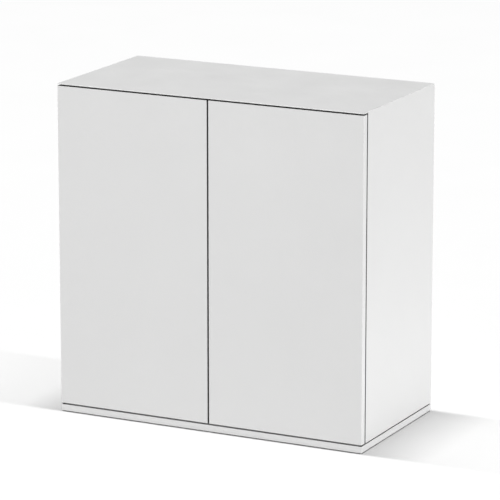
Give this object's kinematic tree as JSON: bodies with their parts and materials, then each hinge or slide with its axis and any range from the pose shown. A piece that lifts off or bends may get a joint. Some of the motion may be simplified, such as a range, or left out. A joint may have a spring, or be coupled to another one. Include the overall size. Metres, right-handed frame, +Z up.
{
  "type": "aquarium stand cabinet",
  "caption": "Low rectangular cabinet that carries an aquarium: handleless double doors, flat load-bearing top, thin base board, divided inside with shelves and hose openings at the back.",
  "frame": {"origin": "on the floor, under the middle of the cabinet", "axes": "+Z up; the doors face -Y; +X is to the right for someone facing the doors"},
  "size_m": [0.8, 0.4, 0.808],
  "materials": {
    "melamine_board": "fine-textured matt white melamine on particleboard, edge-banded",
    "backing_board": "white-faced fibreboard, matt",
    "glide_plastic": "matt dark plastic",
    "grommet_plastic": "satin black plastic",
    "latch_plastic": "satin grey plastic",
    "plunger_plastic": "white nylon",
    "bumper_pad": "clear soft pad",
    "zinc_steel": "bright zinc plate",
    "nickel_steel": "nickel plate"
  },
  "bodies": {
    "cabinet": {"base_board": "melamine_board", "top_panel": "melamine_board", "left_side_panel": "melamine_board", "right_side_panel": "melamine_board", "centre_partition": "melamine_board", "back_panel": "backing_board", "glide_front_left": "glide_plastic", "glide_front_middle": "glide_plastic", "glide_front_right": "glide_plastic", "glide_back_left": "glide_plastic", "glide_back_middle": "glide_plastic", "glide_back_right": "glide_plastic", "left_hose_grommet": "grommet_plastic", "left_cable_grommet": "grommet_plastic", "left_shelf": "melamine_board", "left_latch_housing": "latch_plastic", "left_shelf_pin_front_outer": "zinc_steel", "left_shelf_pin_front_inner": "zinc_steel", "left_shelf_pin_back_outer": "zinc_steel", "left_shelf_pin_back_inner": "zinc_steel", "left_lower_hinge_arm": "nickel_steel", "left_lower_hinge_plate": "nickel_steel", "left_upper_hinge_arm": "nickel_steel", "left_upper_hinge_plate": "nickel_steel", "right_hose_grommet": "grommet_plastic", "right_cable_grommet": "grommet_plastic", "right_shelf": "melamine_board", "right_latch_housing": "latch_plastic", "right_shelf_pin_front_outer": "zinc_steel", "right_shelf_pin_front_inner": "zinc_steel", "right_shelf_pin_back_outer": "zinc_steel", "right_shelf_pin_back_inner": "zinc_steel", "right_lower_hinge_arm": "nickel_steel", "right_lower_hinge_plate": "nickel_steel", "right_upper_hinge_arm": "nickel_steel", "right_upper_hinge_plate": "nickel_steel"},
    "left_door": {"left_door": "melamine_board", "left_door_lower_hinge_cup": "nickel_steel", "left_door_lower_bumper": "bumper_pad", "left_door_upper_hinge_cup": "nickel_steel", "left_door_upper_bumper": "bumper_pad", "left_door_strike_plate": "zinc_steel"},
    "left_hinge_links": {"left_lower_hinge_link": "nickel_steel", "left_upper_hinge_link": "nickel_steel"},
    "left_latch_plunger": {"left_latch_plunger": "plunger_plastic"},
    "right_door": {"right_door": "melamine_board", "right_door_lower_hinge_cup": "nickel_steel", "right_door_lower_bumper": "bumper_pad", "right_door_upper_hinge_cup": "nickel_steel", "right_door_upper_bumper": "bumper_pad", "right_door_strike_plate": "zinc_steel"},
    "right_hinge_links": {"right_lower_hinge_link": "nickel_steel", "right_upper_hinge_link": "nickel_steel"},
    "right_latch_plunger": {"right_latch_plunger": "plunger_plastic"}
  },
  "joints": [
    {"name": "right_door_hinge", "type": "hinge", "parent": "cabinet", "child": "right_door", "pos_m": [0.3935, -0.1905, 0.411], "axis": [0, 0, 1], "range_deg": [0, 95]},
    {"name": "right_hinge_link_turn", "type": "hinge", "parent": "cabinet", "child": "right_hinge_links", "pos_m": [0.3788, -0.1761, 0.411], "axis": [0, 0, 1], "range_deg": [0, 70.02]},
    {"name": "right_latch_push", "type": "slide", "parent": "cabinet", "child": "right_latch_plunger", "axis": [0, -1, 0], "range_m": [0, 0.014]},
    {"name": "left_door_hinge", "type": "hinge", "parent": "cabinet", "child": "left_door", "pos_m": [-0.3935, -0.1905, 0.411], "axis": [0, 0, -1], "range_deg": [0, 95]},
    {"name": "left_hinge_link_turn", "type": "hinge", "parent": "cabinet", "child": "left_hinge_links", "pos_m": [-0.3788, -0.1761, 0.411], "axis": [0, 0, -1], "range_deg": [0, 70.02]},
    {"name": "left_latch_push", "type": "slide", "parent": "cabinet", "child": "left_latch_plunger", "axis": [0, -1, 0], "range_m": [0, 0.014]}
  ],
  "couplings": [
    {"joint": "right_hinge_link_turn", "follows": "right_door_hinge", "ratio": 0.737},
    {"joint": "right_latch_push", "follows": "right_door_hinge", "m_per_rad": 0.00843},
    {"joint": "left_hinge_link_turn", "follows": "left_door_hinge", "ratio": 0.737},
    {"joint": "left_latch_push", "follows": "left_door_hinge", "m_per_rad": 0.00843}
  ]
}
